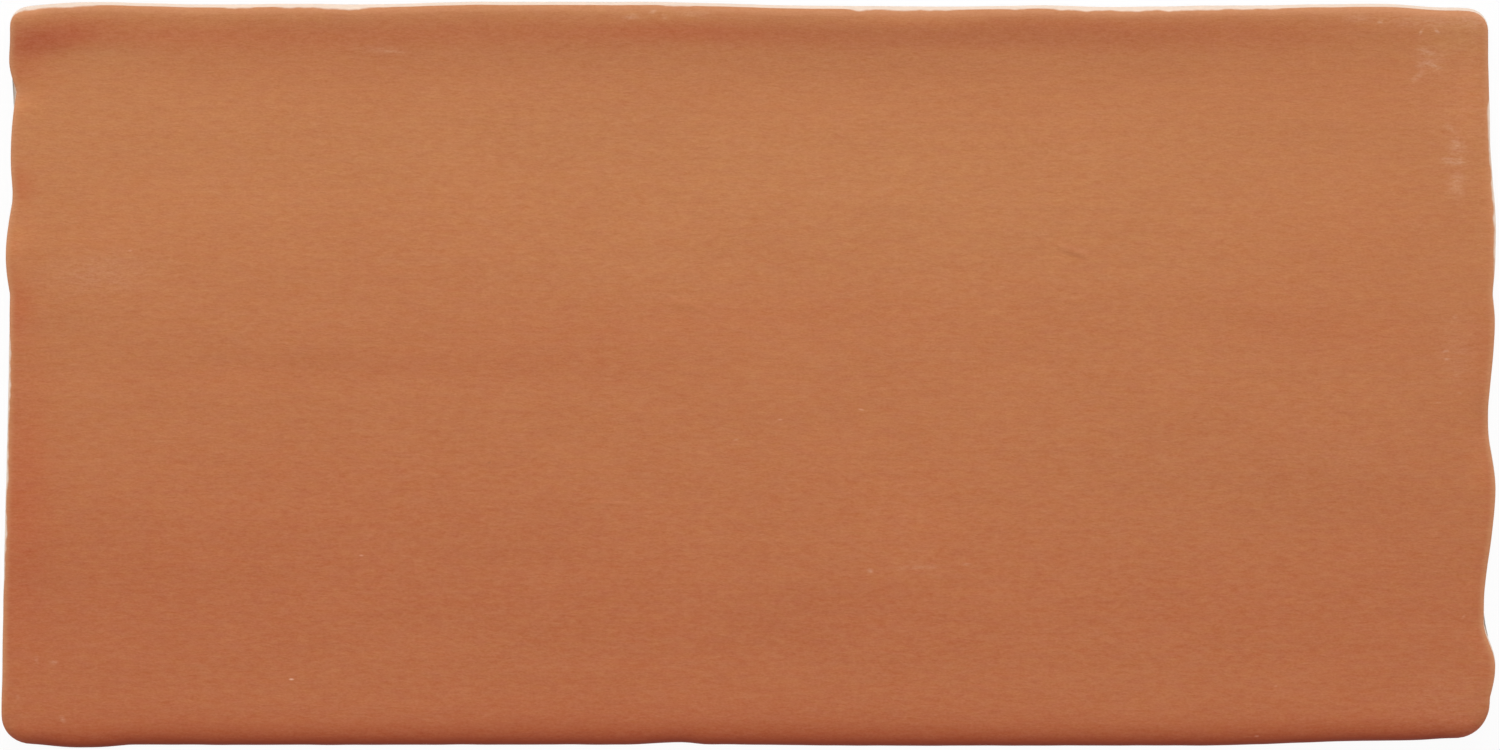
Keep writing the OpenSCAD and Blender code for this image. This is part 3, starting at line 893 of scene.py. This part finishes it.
def glaze_material(look):
    """Satin terracotta glaze over a pale bare body.

    The glaze drifts between a yellower and a redder tone, in patches drawn out along the tile and
    redder towards the front, with cooler flecks. It is finely creped the same way, in threads
    that wander, with painted shading of that fine relief, under a faint pale film that is partly
    painted sheen. It is thin and light over the rear rim, and paler over the ends, where that is
    painted light. It is thick and red over the front roll and in the pools, with painted shade over
    the front roll, and ends in an uneven line down the side. Painted shade, partly smoke of the
    firing, darkens it in places and painted light lightens it in others, and rubbed marks and
    specks lighten it.
    """
    material = bpy.data.materials.new("terracotta_glaze")
    board = Board(material)
    place = board.place()
    noises = {key: board.noise(place, *rule) for key, rule in NOISES.items()}
    wave = board.node("CombineXYZ", {}, {1: noises["bend"] * CREPE_BEND}).outputs[0]
    bent = board.node("VectorMath", {"operation": "ADD"}, {0: place, 1: wave}).outputs[0]
    noises["crepe"] = board.noise(bent, *CREPE_NOISE)
    front_pool_shade = board.painted("front_pool_shade")
    specks = board.spots(place, SPECKS)
    rubbed = board.spots(place, MARKS) * weighed(noises, RUBBING, RUBBING_LEVEL)

    across = Number(board, board.node("SeparateXYZ", {}, {0: place}).outputs[1])
    redder = weighed(noises, REDNESS, REDNESS_LEVEL)
    redder = redder - across.math("MAXIMUM", across, REDDEST) * REDDENING
    tone = board.blend(redder.clamped(), rgba(look.warm), rgba(look.red))
    cooler = weighed(noises, COOLNESS, COOLNESS_LEVEL)
    tone = board.blend(cooler.clamped(), tone, rgba(look.cool))
    tone = board.blend(board.painted("thick"), tone, rgba(look.thick))
    # Paler thin glaze over the rear rim, and painted light over the ends
    tone = board.blend(board.painted("thin_and_lit"), tone, rgba(look.thin_and_lit))

    # Painted shade, partly smoke of the firing, darkens the glaze here, and painted light lightens
    # it where that is under 0
    lightened = rubbed * RUBBED_SHADE + specks * SPECK_SHADE - board.painted("smoke_and_shade")
    # The front roll is painted darker here: painted shade, partly the darkening of its thick pool
    shade = weighed(noises, SHADE, SHADE_LEVEL) * (1 + lightened) * (1 - front_pool_shade)
    tone = board.blend(1.0, tone, board.grey(shade), "MULTIPLY")
    # Pale film, partly dust and partly painted sheen following the fine relief, cut away over the
    # darker front roll
    film_and_sheen = weighed(noises, FILM_AND_SHEEN, FILM_AND_SHEEN_LEVEL) + rubbed * RUBBED_FILM
    film_and_sheen = film_and_sheen * (1 - front_pool_shade * front_pool_shade * FILM_AND_SHEEN_LOSS)
    tone = board.blend(film_and_sheen.clamped(), tone, rgba(look.dust))
    tone = board.blend((specks * SPECK_BODY).clamped(), tone, rgba(look.body))

    body_shade = board.grey(weighed(noises, BODY_SHADE, BODY_SHADE_LEVEL))
    body = board.blend(1.0, rgba(look.body), body_shade, "MULTIPLY")
    covered = board.painted("glaze") + noises["glaze_line"] * LINE_WANDER
    covered = covered.between(-LINE_SOFTNESS, LINE_SOFTNESS)
    glaze_rough = noises["grain"] * GRAIN_ROUGH + rubbed * RUBBED_ROUGH + look.roughness
    rough = BODY_ROUGHNESS + covered * (glaze_rough - BODY_ROUGHNESS)

    relief = noises["crepe"] * look.crepe + noises["grain"] * (look.crepe / CREPE_TO_GRAIN)
    relief = relief + board.spots(place, WRINKLES) * MM
    relief = covered * relief + (1 - covered) * noises["body_grain"] * look.pitting
    bump = {"Height": relief, "Distance": 1.0, "Strength": 1.0}
    normal = board.node("Bump", {}, bump).outputs[0]
    sockets = {
        "Base Color": board.blend(covered, body, tone),
        "Roughness": rough,
        "Normal": normal,
        "IOR": GLAZE_IOR,
        "Specular IOR Level": GLAZE_SPECULAR,
    }
    board.finish("Material", board.node("BsdfPrincipled", {}, sockets).outputs[0])
    return material


def seen_directly(board):
    """1 for rays from the camera, and for those that reach it by a mirror or through glass."""
    path = board.node("LightPath").outputs
    rays = Number(board, path["Is Camera Ray"])
    for name in ("Is Glossy Ray", "Is Transmission Ray"):
        rays = rays.math("MAXIMUM", rays, Number(board, path[name]))
    return rays


def floor_material(look):
    """Pale matt floor, mostly seen as plain white, and clear from below, where the back shows."""
    material = bpy.data.materials.new("studio_floor")
    board = Board(material)
    matt = {"Base Color": rgba(look.floor), "Roughness": FLOOR_ROUGHNESS}
    matt = board.node("BsdfPrincipled", {}, matt).outputs[0]
    white = board.node("Emission", {}, {"Color": (1, 1, 1, 1), "Strength": 1.0}).outputs[0]
    whiteness = seen_directly(board) * FLOOR_WHITENESS
    above = board.node("MixShader", {}, {0: whiteness, 1: matt, 2: white}).outputs[0]
    from_below = board.node("NewGeometry").outputs["Backfacing"]
    clear = board.node("BsdfTransparent").outputs[0]
    both = board.node("MixShader", {}, {0: from_below, 1: above, 2: clear}).outputs[0]
    board.finish("Material", both)
    return material


# ---- Operators ----


class WALLTILE_OT_tile(bpy.types.Operator):
    """Makes the glazed tile: face, roll, flared sides and keyed back, as one closed piece"""

    bl_idname = "walltile.tile"
    bl_label = "Glazed Tile"

    def execute(self, context):
        points, faces, painted = tile_surface(sizes(context.scene.tile_shape))
        piece = make_piece("glazed_tile", points, faces, painted)
        piece.data.materials.append(glaze_material(context.scene.glaze_look))
        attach(piece, "root")
        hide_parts("tile")
        return {"FINISHED"}


class WALLTILE_OT_studio(bpy.types.Operator):
    """Makes the pale floor, the soft lights, the white surroundings and the camera"""

    bl_idname = "walltile.studio"
    bl_label = "Studio"

    def execute(self, context):
        scene, look = context.scene, context.scene.studio_look
        mesh = bpy.data.meshes.new("floor")
        corners = [(-1, -1), (1, -1), (1, 1), (-1, 1)]
        corners = [(x * FLOOR_REACH, y * FLOOR_REACH, -FLOOR_GAP) for x, y in corners]
        mesh.from_pydata(corners, [], [(0, 1, 2, 3)])
        mesh.materials.append(floor_material(look))
        floor = add_object("floor", mesh)

        lamp = bpy.data.lights.new("key", "AREA")
        lamp.shape, lamp.energy = "RECTANGLE", look.key_power
        lamp.size, lamp.size_y = KEY_SIZE
        key = add_object("key", lamp)
        key.location = KEY_PLACE
        key.rotation_euler = key.location.to_track_quat("Z", "Y").to_euler()

        for turn in (-SIDE_TURN, SIDE_TURN):
            lamp = bpy.data.lights.new("side", "SUN")
            lamp.energy, lamp.angle = look.side_power, math.radians(SIDE_SPREAD)
            add_object("side", lamp).rotation_euler = (0, math.radians(turn), 0)

        world = bpy.data.worlds.new("surroundings")
        scene.world = world
        board = Board(world)
        fill = board.node("Background", {}, {"Color": (1, 1, 1, 1), "Strength": look.fill})
        white = board.node("Background", {}, {"Color": (1, 1, 1, 1), "Strength": 1.0})
        mixed = {0: seen_directly(board), 1: fill.outputs[0], 2: white.outputs[0]}
        board.finish("World", board.node("MixShader", {}, mixed).outputs[0])

        lens = bpy.data.cameras.new("camera")
        lens.sensor_width, lens.clip_end = SENSOR_WIDTH, VIEW_END
        lens.lens = SENSOR_WIDTH * look.camera_height / look.frame_width
        camera = add_object("camera", lens)
        tilt, (shift_x, shift_y) = math.radians(CAMERA_TILT), CAMERA_SHIFT
        back, up = look.camera_height * math.sin(tilt), look.camera_height * math.cos(tilt)
        camera.location = (shift_x, back + shift_y, up)
        camera.rotation_euler = (-tilt, 0, 0)
        scene.camera = camera
        scene.view_settings.view_transform = "Standard"
        return {"FINISHED"}


class WALLTILE_PT_panel(bpy.types.Panel):
    """Lists the tile's and the studio's operators and settings."""

    bl_idname = "WALLTILE_PT_panel"
    bl_label = "Wall Tile"
    bl_space_type = "VIEW_3D"
    bl_region_type = "UI"
    bl_category = "Wall Tile"

    def draw(self, context):
        layout, scene = self.layout, context.scene
        for key in ("tile_shape", "glaze_look"):
            self.list_settings(getattr(scene, key))
        layout.operator(WALLTILE_OT_tile.bl_idname)
        self.list_settings(scene.studio_look)
        layout.operator(WALLTILE_OT_studio.bl_idname)

    def list_settings(self, group):
        """Lists the settings of a group."""
        for name in group.__annotations__:
            self.layout.prop(group, name)


GROUPS = {"tile_shape": TileShape, "glaze_look": GlazeLook, "studio_look": StudioLook}
CLASSES = (*GROUPS.values(), WALLTILE_OT_tile, WALLTILE_OT_studio, WALLTILE_PT_panel)


def register():
    """Registers the classes and gives the scene its groups of settings."""
    for cls in CLASSES:
        bpy.utils.register_class(cls)
    for key, group in GROUPS.items():
        setattr(bpy.types.Scene, key, bpy.props.PointerProperty(type=group))


def unregister():
    """Takes the settings off the scene and unregisters the classes."""
    for key in GROUPS:
        delattr(bpy.types.Scene, key)
    for cls in reversed(CLASSES):
        bpy.utils.unregister_class(cls)


def main():
    """Makes the tile and the studio."""
    register()
    bpy.ops.walltile.tile()
    bpy.ops.walltile.studio()


if __name__ == "__main__":
    main()
